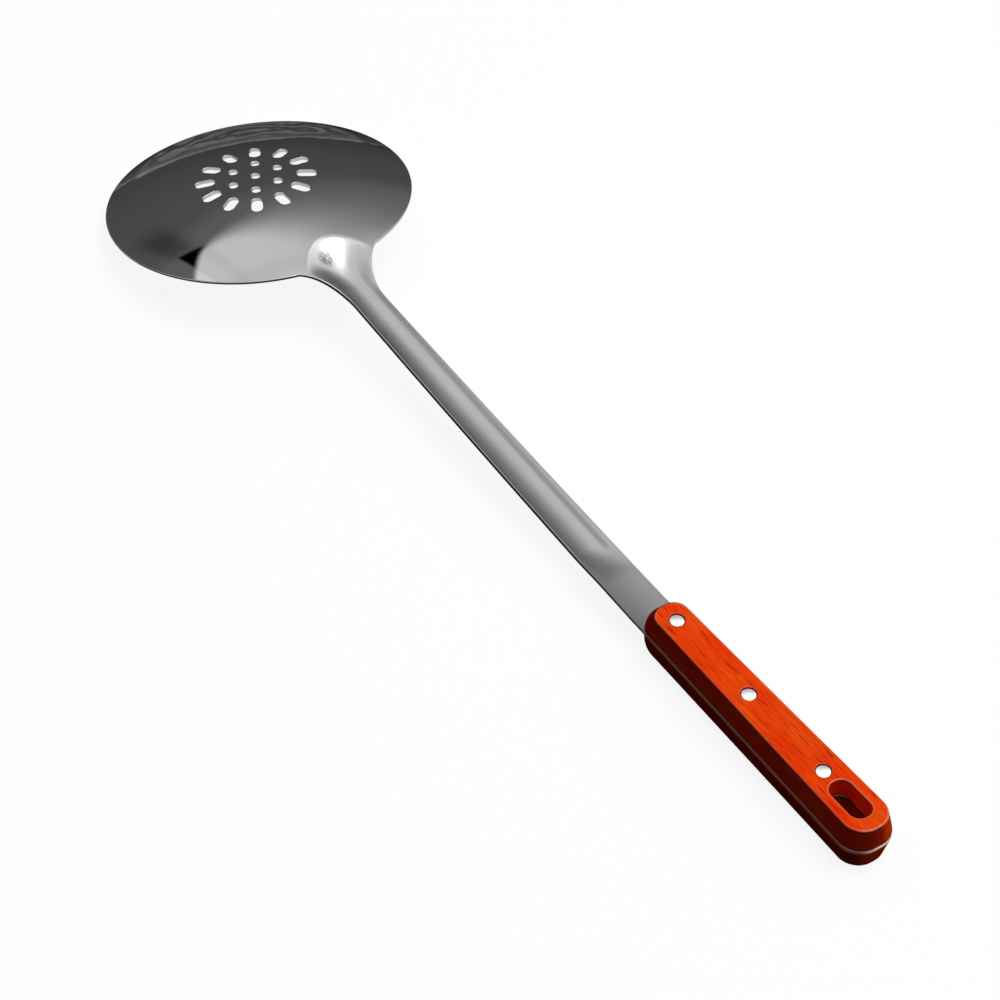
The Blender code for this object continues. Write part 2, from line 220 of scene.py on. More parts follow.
# Wood
WOOD_TONES = ((1.0, 0.098, 0.006), (0.96, 0.048, 0.004))
FIGURE_SCALE = (190.0, 45.0, 190.0)
FIGURE_TURN = 0.05
FIGURE_LIMITS = (0.3, 0.7)
FIBRE_TONE = (0.70, 0.026, 0.002)
FIBRE_SHARE = 0.5
FIBRE_SCALE = (1500.0, 50.0, 1500.0)
FIBRE_LIMITS = (0.35, 0.75)
FIBRE_TURN = 0.10
GLOSS_LIMITS = (0.2, 0.8)
WOOD_ROUGHNESS = (0.32, 0.45)
PORE_TONE = (0.20, 0.010, 0.002)
PORE_SHARE = 0.7
PORE_SCALE = (2100.0, 95.0, 2100.0)
PORE_LIMITS = (0.59, 0.70)
PORE_DEPTH = 0.00004
PORE_STRENGTH = 0.5
# Painted shade on the left flank, the upper scale's end grain away from the right, and low in the hanging
# slot
WOOD_SHADE_TONE = (0.28, 0.006, 0.003)
WOOD_SHADE_SHARE = 0.7
FLANK_LIMITS = (-0.8, -0.3)
END_GRAIN_LIMITS = (0.35, 0.85)
END_GRAIN_SIDE = (-0.1, 0.3)
SLOT_WALL_LIMITS = (0.0098, 0.0104)
SLOT_LEFT_LIMITS = (-0.0058, -0.0050)
# Painted highlight on the rounded upper corners, weaker on the left and none at the front
CORNER_HIGHLIGHT_TONE = (1.0, 0.30, 0.16)
CORNER_HIGHLIGHT_SHARE = 0.5
CORNER_RISE = (0.25, 0.45)
CORNER_FALL = (0.985, 0.998)
CORNER_LEFT_LIMITS = (-0.0075, -0.0055)
CORNER_LEFT_LEVEL = 0.35
CORNER_FRONT_FADE = 0.006
LACQUER_ROUGHNESS = 0.12

# Rivet metal
# The blue tint is a painted reflection, and the ring round each head a painted highlight
RIVET_TONES_WITH_BLUE_REFLECTION = ((0.95, 0.96, 0.98), (0.86, 0.89, 0.94))
RIVET_RING_HIGHLIGHT_TONE = (0.96, 0.95, 0.95)
RIVET_ROUGHNESS = (0.30, 0.40)
MOTTLE_SCALE = (900.0, 900.0, 900.0)
MOTTLE_LIMITS = (0.3, 0.7)
MOTTLE_HEIGHT = 0.00002
MOTTLE_STRENGTH = 0.4

# Floor and lamp
FLOOR_SIZE = 8.0
FLOOR_GLOW = 0.88
FLOOR_TONE = (0.14, 0.14, 0.14, 1.0)
FLOOR_BOUNCE_TONE = (0.05, 0.05, 0.05, 1.0)
WHITE = (1.0, 1.0, 1.0, 1.0)
KEY_PLACE = (0.40, -0.17, 1.35)
KEY_SIZE = 1.00
KEY_POWER = 6.0

# Room: levels of light, and limits in the parts of a direction of length 1
FAR_SIDE = (0.6, 0.8)
ROOM_LEVEL = 0.19
HORIZON_LEVEL = 0.20
HORIZON_LIMITS = (0.0, 0.5)
DIM_SIDE_LIMITS = (-0.6, 0.0)
DIM_SIDE_SHARE = 0.08
HALO_LIMITS = (-0.15, -0.03)
HALO_GAIN = 1.45
NEAR_WALL_LEVEL = 1.00
NEAR_WALL_LIMITS = (-0.35, -0.05)
PANEL_LEVEL = 1.10
PANEL_TILT = 0.385
PANEL_BOTTOM = 0.704
PANEL_RISE = (-0.2, 1.3)
PANEL_SPREAD = 1.55
PANEL_LEAST_SPREAD = 0.012
PANEL_LEFT_TILT = 1.3
PANEL_LEFT_LIMITS = (0.940, 0.978)
PANEL_GLARE_LIMITS = (0.02, 0.12)
PANEL_GLARE = 1.28
PANEL_TOP_LIMITS = (0.81, 0.87)
PANEL_TOP_SHARE = 0.84
SIDE_LEVEL = 1.30
SIDE_RISE = (0.20, 0.55)
SIDE_LIMITS = (0.3, 0.5)
SIDE_NEAR_LIMITS = (-0.45, -0.15)
SIDE_FAR_LIMITS = (0.24, 0.40)
ZENITH_LEVEL = 1.15
ZENITH_RISE = (0.74, 0.90)
ZENITH_LIMITS = (-0.15, 0.10)
FLAG_TILT = 0.125
FLAG_BOTTOM = (0.652, 0.667)
FLAG_LEFT = (-0.012, 0.0)
FLAG_RIGHT = (0.060, 0.120)
SHADE_MIDDLE = 0.022
SHADE_LIMITS = (0.015, 0.080)
SHADE_DEPTH = 0.48
SHADE_BOTTOM = (0.40, 0.55)
SHADE_TOP = (0.63, 0.69)

# Heights and stations that follow from the sizes above
SPHERE_RADIUS = (BOWL_RADIUS ** 2 + BOWL_DEPTH ** 2) / (2 * BOWL_DEPTH)
RIM_SLOPE = math.asin(BOWL_RADIUS / SPHERE_RADIUS)
RIM_CENTRE_Z = BOWL_RADIUS * math.sin(BOWL_TILT) + SHEET * math.cos(BOWL_TILT + RIM_SLOPE)
SPHERE_Y = (BOWL_DEPTH - SPHERE_RADIUS) * math.sin(BOWL_TILT)
SPHERE_Z = RIM_CENTRE_Z + (BOWL_DEPTH - SPHERE_RADIUS) * math.cos(BOWL_TILT)
TANG_TOP = SCALE_THICKNESS + SEAT_GAP + SHEET
GRIP_TOP = TANG_TOP + SEAT_GAP + SCALE_THICKNESS
RIM_STATION = BOWL_RADIUS * math.cos(BOWL_TILT)
NECK_END = RIM_STATION + NECK_LENGTH
GRIP_FRONT = NECK_END + SHANK_LENGTH
FLAT_START = GRIP_FRONT - BARE_TANG_LENGTH
FADE_START = FLAT_START - FADE_LENGTH
RIVET_STATIONS = [GRIP_FRONT + RIVET_FROM_FRONT + RIVET_PITCH * i for i in range(len(RIVET_NAMES))]
HEAD_POCKET_RADIUS = RIVET_HEAD_RADIUS + RIVET_CLEARANCE
RIVET_HOLE_RADIUS = RIVET_BARREL_RADIUS + RIVET_CLEARANCE
HANG_SLOT_START = RIVET_STATIONS[-1] + HEAD_POCKET_RADIUS + WALL_RIVET_TO_SLOT
HANG_SLOT_STATION = HANG_SLOT_START + HANG_SLOT_LENGTH / 2
GRIP_END = HANG_SLOT_START + HANG_SLOT_LENGTH + WALL_SLOT_TO_END
EDGE_AT_RIM_Z = RIM_CENTRE_Z + BOWL_RADIUS * math.sin(BOWL_TILT) - EDGE_BELOW_RIM
BOWL_Y = (GRIP_END - RIM_STATION) / 2
SLOT_CENTRE = (0.0, HANG_SLOT_STATION, 0.0)
HEAD_RING_LIMITS = (0.6 * RIVET_HEAD_RADIUS, 0.85 * RIVET_HEAD_RADIUS)
RIM_GAP = 0.8 * RING_SPACING
HOLE_GAP = 0.35 * RING_SPACING
NOSE_PATCH_LENGTH = 1.3 * NOSE_LENGTH
NOSE_PATCH_HALF = 1.4 * NOSE_HALF_WIDTH


def smooth(value, start, end):
    """A soft step from 0 at start to 1 at end."""
    f = np.clip((value - start) / (end - start), 0.0, 1.0)
    return f * f * (3.0 - 2.0 * f)


def mix(a, b, f):
    return a + (b - a) * f


def unit(vectors):
    return vectors / np.linalg.norm(vectors, axis=-1, keepdims=True)


# The pressed sheet's shape, for arrays of points of the flat blank

def grip_half(s):
    return mix(GRIP_FRONT_HALF, GRIP_REAR_HALF, (s - GRIP_FRONT) / (GRIP_END - GRIP_FRONT))


def sheet_half(s):
    """Half the sheet's width behind the bowl. It flares out at the neck."""
    before = np.clip(NECK_END - s, 0.0, NECK_FILLET)
    flare = NECK_HALF + NECK_FILLET - np.sqrt(NECK_FILLET ** 2 - before ** 2)
    shank = mix(NECK_HALF, GRIP_FRONT_HALF, (s - NECK_END) / SHANK_LENGTH)
    half = np.where(s < NECK_END, flare, shank)
    return np.where(s < GRIP_FRONT, half, grip_half(s))


def cap_z(x, s):
    """Height of the bowl's sphere over a point of the table."""
    across = np.minimum(x * x + (s + SPHERE_Y) ** 2, SPHERE_RADIUS ** 2)
    return SPHERE_Z + np.sqrt(SPHERE_RADIUS ** 2 - across)


def soft_ramp(distance):
    """A straight rise that starts with a gentle bend."""
    d = np.maximum(distance, 0.0)
    return d * d / (d + TANG_BEND)


def edge_z(s):
    """Height of the shank's edges, from the flat tang up to the neck."""
    f = soft_ramp(GRIP_FRONT - s) / soft_ramp(GRIP_FRONT - RIM_STATION)
    return TANG_TOP + (EDGE_AT_RIM_Z - TANG_TOP) * mix(f, f * f, SHANK_BOW)


def shank_z(x, s):
    """Height of the shallow gutter, which flattens out before the grip."""
    depth = GUTTER_DEPTH * (1.0 - smooth(s, FADE_START, FLAT_START))
    q = x / sheet_half(s)
    return edge_z(s) - depth * (1.0 - q * q)


def sunk(x, s):
    """How far the sheet has gone from the bowl's curve, 0, to the shank's, 1. The middle goes first."""
    nose = RIM_STATION - NOSE_LENGTH * (1.0 - (x / NOSE_HALF_WIDTH) ** 2)
    f = np.clip((s - nose) / SINK_LENGTH, 0.0, 1.0)
    middle = smooth(f ** SINK_EASE, 0.0, 1.0)
    edge = smooth(s, RIM_STATION, NECK_END)
    q = np.minimum(np.abs(x) / sheet_half(s), 1.0)
    return mix(middle, edge, q * q)


def formed(flat):
    """Places of points of the flat blank once the sheet is pressed."""
    x, s = flat[:, 0], flat[:, 1]
    z = mix(cap_z(x, s), shank_z(x, s), sunk(x, s))
    return np.column_stack([x, BOWL_Y - s, z])


def sheet_normals(flat):
    step_u = np.array([NORMAL_STEP, 0.0])
    step_s = np.array([0.0, NORMAL_STEP])
    across = formed(flat + step_u) - formed(flat - step_u)
    along = formed(flat - step_s) - formed(flat + step_s)
    return unit(np.cross(across, along))


def bowl_point(points):
    """(across, station) of points of the bowl given in the plane of its rim."""
    x, y = points[:, 0], points[:, 1]
    height = np.sqrt(SPHERE_RADIUS ** 2 - x * x - y * y) - SPHERE_RADIUS + BOWL_DEPTH
    return np.column_stack([x, -(y * math.cos(BOWL_TILT) + height * math.sin(BOWL_TILT))])


# Outlines in the flat blank, as (across, station) points

def arc(centre, radius, start, end, steps):
    """Points of an arc, both ends included. Angles in degrees."""
    a = np.radians(np.linspace(start, end, steps + 1))
    return np.column_stack([centre[0] + radius * np.cos(a), centre[1] + radius * np.sin(a)])


def circle(centre, radius, steps):
    return arc(centre, radius, 0, 360, steps)[:-1]


def turned(points, angle):
    cos_a, sin_a = math.cos(angle), math.sin(angle)
    return points @ np.array([[cos_a, sin_a], [-sin_a, cos_a]])


def drain_holes():
    """The bowl's holes, as (across, station) loops."""
    half_length = SLOT_LENGTH / 2
    half_width = SLOT_WIDTH / 2
    ends = HOLE_STEPS // 2
    outer_end = arc((half_length - half_width, 0), half_width, -90, 90, ends)
    inner_end = arc((half_width - half_length, 0), half_width, 90, 270, ends)
    slot = np.vstack([outer_end, inner_end]) + (SLOT_RING_RADIUS, 0)
    small = circle((SMALL_HOLE_RING_RADIUS, 0), SMALL_HOLE_RADIUS, HOLE_STEPS)
    holes = [turned(slot, 2 * math.pi * i / SLOT_COUNT) for i in range(SLOT_COUNT)]
    holes += [turned(small, 2 * math.pi * i / SMALL_HOLE_COUNT) for i in range(SMALL_HOLE_COUNT)]
    holes.append(circle((0, 0), SMALL_HOLE_RADIUS, HOLE_STEPS))
    return [bowl_point(hole) for hole in holes]


def hang_slot():
    half_x = HANG_SLOT_WIDTH / 2 - HANG_SLOT_CORNER
    half_s = HANG_SLOT_LENGTH / 2 - HANG_SLOT_CORNER
    corners = []
    for turn, (sx, sy) in enumerate(((1, 1), (-1, 1), (-1, -1), (1, -1))):
        centre = (sx * half_x, HANG_SLOT_STATION + sy * half_s)
        corners.append(arc(centre, HANG_SLOT_CORNER, 90 * turn, 90 * turn + 90, CORNER_STEPS))
    return np.vstack(corners)


def grip_outline(inset=0.0):
    """The grip's outline seen from above, drawn in by the inset. Its front rounds over towards the top."""
    rise = min(inset / SCALE_DRAFT, 1.0)
    swell = 1 - math.sqrt(1 - rise ** 2)
    past_wall = max(inset - SCALE_DRAFT, 0.0)
    front = GRIP_FRONT + FRONT_ROUND * swell + past_wall
    end = GRIP_END - inset
    front_half = grip_half(front) - SCALE_DRAFT * swell - past_wall
    rear_half = grip_half(end) - inset
    front_r = GRIP_FRONT_CORNER + FRONT_CORNER_GROWTH * swell - past_wall / 2
    rear_r = GRIP_REAR_CORNER - inset / 2
    return np.vstack([
        arc((rear_half - rear_r, end - rear_r), rear_r, 0, 90, CORNER_STEPS),
        arc((rear_r - rear_half, end - rear_r), rear_r, 90, 180, CORNER_STEPS),
        arc((front_r - front_half, front + front_r), front_r, 180, 270, CORNER_STEPS),
        arc((front_half - front_r, front + front_r), front_r, 270, 360, CORNER_STEPS),
    ])


def even_steps(start, end, spacing):
    return np.linspace(start, end, max(int(math.ceil((end - start) / spacing)), 1) + 1)


def rim_joint():
    """Station where the neck's flare meets the rim."""
    low, high = RIM_STATION / 2, RIM_STATION
    for _ in range(JOINT_ROUNDS):
        middle = (low + high) / 2
        if BOWL_RADIUS * math.sqrt(1.0 - (middle / RIM_STATION) ** 2) > sheet_half(middle):
            low = middle
        else:
            high = middle
    return low


def blank_outline(rows):
    """The whole sheet's outline: the rim, both sides of the handle, and its rear end."""
    joint_angle = math.asin(rows[0] / RIM_STATION)
    angles = joint_angle - (math.pi + 2 * joint_angle) * np.arange(1, RIM_STEPS) / RIM_STEPS
    rim = np.column_stack([BOWL_RADIUS * np.cos(angles), RIM_STATION * np.sin(angles)])
    left = np.column_stack([-sheet_half(rows), rows])
    right = np.column_stack([sheet_half(rows), rows])[::-1]
    rear = grip_outline()[:2 * CORNER_STEPS + 2][::-1]
    return np.vstack([rim, left, rear, right])


# Loops and meshes

def outward(loop):
    """Unit directions that point away from the material, for loops that keep it on their left."""
    along = unit(np.roll(loop, -1, axis=0) - np.roll(loop, 1, axis=0))
    return np.column_stack([along[:, 1], -along[:, 0]])


def set_turn(loop, material_inside):
    """Orders a loop so that the material is on its left, seen from above with +Y up."""
    x, y = loop[:, 0], -loop[:, 1]
    area = np.sum(x * np.roll(y, -1) - y * np.roll(x, -1))
    return loop if (area > 0) == material_inside else loop[::-1]


def drawn_in(loop, distance):
    """A loop moved into the material. The loop's second column is a station."""
    above = loop * (1, -1)
    return (above - outward(above) * distance) * (1, -1)


def inside(points, loop):
    """Which points lie inside a closed loop."""
    x, y = points[:, 0], points[:, 1]
    hit = np.zeros(len(points), bool)
    for a, b in zip(loop, np.roll(loop, -1, axis=0)):
        if a[1] == b[1]:
            continue
        crosses = (a[1] > y) != (b[1] > y)
        hit ^= crosses & (x < a[0] + (b[0] - a[0]) * (y - a[1]) / (b[1] - a[1]))
    return hit


def triangulated(loops, extra=()):
    """Triangles that fill the first loop and leave the others open. Gives points and faces."""
    points = list(loops[0])
    edges = [(i, (i + 1) % len(points)) for i in range(len(points))]
    for loop in loops[1:]:
        first = len(points)
        edges += [(first + i, first + (i + 1) % len(loop)) for i in range(len(loop))]
        points += list(loop)
    points += list(extra)
    found, _, faces, _, _, _ = delaunay_2d_cdt([tuple(p) for p in points], edges, [], 0, MERGE_DISTANCE)
    flat = np.array([tuple(p) for p in found])
    faces = np.array([f[::-1] for f in faces])
    middles = flat[faces].mean(axis=1)
    keep = inside(middles, loops[0])
    for loop in loops[1:]:
        keep &= ~inside(middles, loop)
    return flat, faces[keep]


class Shell:
    """Points with normals, and faces between them. Points in one place are joined at the end."""

    def __init__(self):
        self.points = []
        self.normals = []
        self.faces = []
        self.masks = []
        self.count = 0

    def add(self, points, normals, mask=0.0):
        first = self.count
        self.points.append(points)
        self.normals.append(normals)
        self.masks.append(np.broadcast_to(mask, len(points)))
        self.count += len(points)
        return first

    def fill(self, first, faces):
        self.faces += [tuple(first + i for i in face) for face in faces]

    def bridge(self, rows, count):
        """Faces between loops of points that follow each other down the outside."""
        for upper, lower in zip(rows, rows[1:]):
            for i in range(count):
                j = (i + 1) % count
                self.faces.append((upper + i, lower + i, lower + j, upper + j))

    def piece(self, name, look):
        """The finished object, with its own normals."""
        points = np.vstack(self.points)
        normals = unit(np.vstack(self.normals))
        masks = np.concatenate(self.masks)
        _, first, joined = np.unique(
            np.round(points, MERGE_DIGITS), axis=0, return_index=True, return_inverse=True)
        joined = joined.ravel()
        faces, corner_normals = [], []
        for face in self.faces:
            corners = [joined[i] for i in face]
            kept = [k for k in range(len(face)) if corners[k] != corners[k - 1]]
            if len(kept) > 2:
                faces.append([int(corners[k]) for k in kept])
                corner_normals += [normals[face[k]] for k in kept]
        mesh = bpy.data.meshes.new(name)
        mesh.from_pydata(points[first].tolist(), [], faces)
        mesh.shade_smooth()
        mesh.normals_split_custom_set(corner_normals)
        mask = mesh.attributes.new("edge", "FLOAT", "POINT")
        mask.data.foreach_set("value", masks[first].astype(np.float32))
        mesh.materials.append(look)
        result = bpy.data.objects.new(name, mesh)
        bpy.context.scene.collection.objects.link(result)
        return result


def placed(piece, node):
    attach(piece, "root")
    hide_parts(node)


# Blade

def bowl_points(holes, joint):
    """Points that carry the bowl's curve, clear of the holes and of the nose."""
    rings = []
    for radius in even_steps(RING_SPACING, BOWL_RADIUS - RIM_GAP, RING_SPACING):
        steps = max(int(2 * math.pi * radius / RING_SPACING), LEAST_RING_STEPS)
        rings.append(bowl_point(circle((0, 0), radius, steps)))
    points = np.vstack(rings)
    nose_start = RIM_STATION - NOSE_PATCH_LENGTH
    in_nose = (np.abs(points[:, 0]) < NOSE_PATCH_HALF) & (points[:, 1] > nose_start)
    grid_s, grid_x = np.meshgrid(
        even_steps(nose_start, joint - NOSE_SPACING, NOSE_SPACING),
        even_steps(-NOSE_PATCH_HALF, NOSE_PATCH_HALF, NOSE_SPACING), indexing="ij")
    points = np.vstack([points[~in_nose], np.column_stack([grid_x.ravel(), grid_s.ravel()])])
    clear = np.ones(len(points), bool)
    for hole in holes:
        gaps = np.linalg.norm(points[:, None, :] - hole[None, :, :], axis=2).min(axis=1)
        clear &= (gaps > HOLE_GAP) & ~inside(points, hole)
    return points[clear]


def shank_points(rows):
    """Points across the neck and shank."""
    share = np.arange(1 - ACROSS_STEPS, ACROSS_STEPS) / ACROSS_STEPS
    x = (sheet_half(rows) - RIM_ROUND)[:, None] * share
    s = np.broadcast_to(rows[:, None], x.shape)
    return np.column_stack([x.ravel(), s.ravel()])


def rounded_wall(shell, loop, radius, painted_light_share=0.0):
    """The sheet's edge along a loop that keeps the material on its left. The last argument is how much of
    the cut edges' painted shade or highlight it takes.
    """
    place = formed(loop)
    up = sheet_normals(loop)
    along = np.roll(place, -1, axis=0) - np.roll(place, 1, axis=0)
    out = unit(np.cross(along, up))
    rows = []
    for angle in np.radians(np.linspace(0, 90, ROUND_STEPS + 1)):
        side = out * radius * math.sin(angle)
        drop = up * radius * (1 - math.cos(angle))
        lean = out * math.sin(angle)
        top = shell.add(place + side - drop, lean + up * math.cos(angle), painted_light_share * edge_shade_share(angle))
        under = place - up * SHEET
        bottom = shell.add(under + side + drop, lean - up * math.cos(angle), painted_light_share)
        rows.append((top, bottom))
    shell.bridge([top for top, _ in rows] + [bottom for _, bottom in reversed(rows)], len(loop))


def edge_shade_share(angle):
    """0 on the upper corner of a cut edge, which keeps the sheet's tone, and 1 on the edge itself, which
    takes the painted shade or highlight.
    """
    return smooth(angle, *EDGE_SHADE_ANGLES)


def make_blade(look):
    """The bowl, shank and tang: one sheet with punched holes and rounded edges."""
    joint = rim_joint()
    rows = np.concatenate([
        even_steps(joint, NECK_END, NOSE_SPACING),
        even_steps(NECK_END, GRIP_FRONT, STATION_SPACING)[1:],
    ])
    outline = drawn_in(set_turn(blank_outline(rows), True), RIM_ROUND)
    tang_holes = [circle((0, s), RIVET_HOLE_RADIUS, HOLE_STEPS) for s in RIVET_STATIONS] + [hang_slot()]
    holes = [drawn_in(set_turn(h, False), HOLE_ROUND) for h in drain_holes() + tang_holes]
    extra = np.vstack([bowl_points(holes, joint), shank_points(rows[1:-1])])
    flat, faces = triangulated([outline] + holes, extra)
    place = formed(flat)
    up = sheet_normals(flat)
    shell = Shell()
    shell.fill(shell.add(place, up), faces)
    shell.fill(shell.add(place - up * SHEET, -up), faces[:, ::-1])
    # The rim and the tang's holes take the cut edges' painted shade and highlight, and the drain holes
    # keep the sheet's tone
    rounded_wall(shell, outline, RIM_ROUND, 1.0)
    for hole in holes[:-len(tang_holes)]:
        rounded_wall(shell, hole, HOLE_ROUND)
    for hole in holes[-len(tang_holes):]:
        rounded_wall(shell, hole, HOLE_ROUND, 1.0)
    placed(shell.piece("skimmer_blade", look), "blade")


# Scales

def ring_rows(shell, loop_at, rows, seat_z, side):
    """A wall through loops. Each row is (inset, height, outward part, upward part) of the wall."""
    starts = []
    for inset, height, out_part, up_part in rows:
        loop = loop_at(inset) * (1, -1)
        out = outward(loop)
        level = np.full(len(loop), seat_z + side * height)
        place = np.column_stack([loop[:, 0], BOWL_Y + loop[:, 1], level])
        lean = np.column_stack([out * out_part, np.full(len(loop), side * up_part)])
        starts.append(shell.add(place, lean))
    for a, b in zip(starts, starts[1:]):
        shell.bridge([a, b], len(loop))


def flat_cap(shell, loops, seat_z, side, height, faces_up):
    """A flat face at a height, with holes."""
    flat, faces = triangulated(loops)
    level = np.full(len(flat), seat_z + side * height)
    place = np.column_stack([flat[:, 0], BOWL_Y - flat[:, 1], level])
    up = 1.0 if faces_up else -1.0
    first = shell.add(place, np.tile((0.0, 0.0, side * up), (len(flat), 1)))
    shell.fill(first, faces if faces_up else faces[:, ::-1])


def round_rows(radius, inset, height, lean):
    """Rows of a rounded upper edge, from the top down to a wall that leans in by an angle."""
    rows = []
    for angle in np.linspace(math.pi / 2, lean, ROUND_STEPS + 2):
        row_inset = inset + radius * (1 - math.cos(angle))
        row_height = height - radius * (1 - math.sin(angle))
        rows.append((row_inset, row_height, math.cos(angle), math.sin(angle)))
    return rows


def grip_wall(inset):
    return set_turn(grip_outline(inset), True)


def slot_wall(inset):
    return drawn_in(set_turn(hang_slot(), False), inset)


def round_hole(station, radius):
    """A function that gives a round hole's loop, wider by its inset."""
    return lambda inset: set_turn(circle((0, station), radius + inset, RIVET_STEPS), False)


def grip_wall_rows():
    """Rows of a scale's outer wall, from its rounded upper edge down to the seat."""
    rows = round_rows(WOOD_ROUND, SCALE_DRAFT, SCALE_THICKNESS, math.atan2(SCALE_DRAFT, SCALE_THICKNESS))
    inset, height, out_part, up_part = rows[-1]
    for angle in np.linspace(math.pi / 2, 0, WALL_STEPS + 1)[1:]:
        rows.append((inset * math.sin(angle), height * math.sin(angle), out_part, up_part))
    return rows


def make_scale(name, node, look, seat_z, side):
    """One wooden scale, with rivet pockets and the hanging slot. Side is 1 for the upper one."""
    shell = Shell()
    outer_rows = grip_wall_rows()
    slot_rows = round_rows(SLOT_ROUND, 0.0, SCALE_THICKNESS, 0.0) + [(0.0, 0.0, 1.0, 0.0)]
    ring_rows(shell, grip_wall, outer_rows, seat_z, side)
    ring_rows(shell, slot_wall, slot_rows, seat_z, side)
    top_loops = [grip_wall(outer_rows[0][0]), slot_wall(slot_rows[0][0])]
    base_loops = [grip_wall(0.0), slot_wall(0.0)]
    pocket_floor = SCALE_THICKNESS - RIVET_RECESS - RIVET_HEAD_HEIGHT - RIVET_CLEARANCE
    pocket_rows = round_rows(POCKET_ROUND, 0.0, SCALE_THICKNESS, 0.0) + [(0.0, pocket_floor, 1.0, 0.0)]
    bore_rows = [(0.0, pocket_floor, 1.0, 0.0), (0.0, 0.0, 1.0, 0.0)]
    for station in RIVET_STATIONS:
        pocket = round_hole(station, HEAD_POCKET_RADIUS)
        bore = round_hole(station, RIVET_HOLE_RADIUS)
        ring_rows(shell, pocket, pocket_rows, seat_z, side)
        flat_cap(shell, [pocket(0.0), bore(0.0)], seat_z, side, pocket_floor, True)
        ring_rows(shell, bore, bore_rows, seat_z, side)
        top_loops.append(pocket(pocket_rows[0][0]))
        base_loops.append(bore(0.0))
    flat_cap(shell, top_loops, seat_z, side, SCALE_THICKNESS, True)
    flat_cap(shell, base_loops, seat_z, side, 0.0, False)
    if side < 0:
        shell.faces = [face[::-1] for face in shell.faces]
    placed(shell.piece(name, look), node)


# Rivets

def revolve(shell, profile, station, flip):
    """A turned surface from runs of (radius, height) points. Each run is smooth in itself."""
    a = 2 * math.pi * np.arange(RIVET_STEPS) / RIVET_STEPS
    ring = np.column_stack([np.cos(a), np.sin(a)])
    facing = -1 if flip else 1
    for run in profile:
        run = np.array(run)
        slope = np.gradient(run, axis=0)
        starts = []
        for (radius, z), (dr, dz) in zip(run, slope):
            place = np.column_stack([ring * radius, np.full(RIVET_STEPS, z)]) + (0, BOWL_Y - station, 0)
            lean = np.column_stack([ring * -dz, np.full(RIVET_STEPS, dr)])
            # The mask marks each head's painted highlight ring
            starts.append(shell.add(place, lean * facing, smooth(radius, *HEAD_RING_LIMITS)))
        for pair in zip(starts, starts[1:]):
            shell.bridge(pair[::facing], RIVET_STEPS)


def head_run(top, side):
    """The rivet head's crowned face and rounded edge, from the middle outwards."""
    flat = RIVET_HEAD_RADIUS - HEAD_ROUND
    run = []
    for radius in np.linspace(0.0, flat, CROWN_STEPS + 1):
        run.append((radius, top - side * RIVET_CROWN * (radius / RIVET_HEAD_RADIUS) ** 2))
    shoulder = run[-1][1]
    for angle in np.radians(np.linspace(0, 90, HEAD_ROUND_STEPS + 1))[1:]:
        drop = HEAD_ROUND * (1 - math.cos(angle))
        run.append((flat + HEAD_ROUND * math.sin(angle), shoulder - side * drop))
    return run


def turned_profile(head, *corners):
    """A head's run, and straight runs on from its edge through corners."""
    stops = [head[-1], *corners]
    return [head, *zip(stops, stops[1:])]


def make_rivet(label, look, station):
    """A barrel with its head above, and a pin with its head below."""
    top = GRIP_TOP - RIVET_RECESS
    bottom = RIVET_RECESS
    under_head = top - RIVET_HEAD_HEIGHT
    over_pin_head = bottom + RIVET_HEAD_HEIGHT
    barrel_end = over_pin_head + RIVET_CLEARANCE
    bore_end = under_head - RIVET_HEAD_HEIGHT
    pin_radius = RIVET_BORE_RADIUS - RIVET_CLEARANCE
    pin_end = bore_end - RIVET_CLEARANCE
    barrel = turned_profile(
        head_run(top, 1),
        (RIVET_HEAD_RADIUS, under_head),
        (RIVET_BARREL_RADIUS, under_head),
        (RIVET_BARREL_RADIUS, barrel_end),
        (RIVET_BORE_RADIUS, barrel_end),
        (RIVET_BORE_RADIUS, bore_end),
        (0.0, bore_end),
    )
    shell = Shell()
    revolve(shell, barrel, station, False)
    placed(shell.piece(f"{label}_rivet_head", look), f"{label}_rivet_barrel")
    pin = turned_profile(
        head_run(bottom, -1),
        (RIVET_HEAD_RADIUS, over_pin_head),
        (pin_radius, over_pin_head),
        (pin_radius, pin_end),
        (0.0, pin_end),
    )
    shell = Shell()
    revolve(shell, pin, station, True)
    placed(shell.piece(f"{label}_rivet_tail", look), f"{label}_rivet_pin")


# Materials

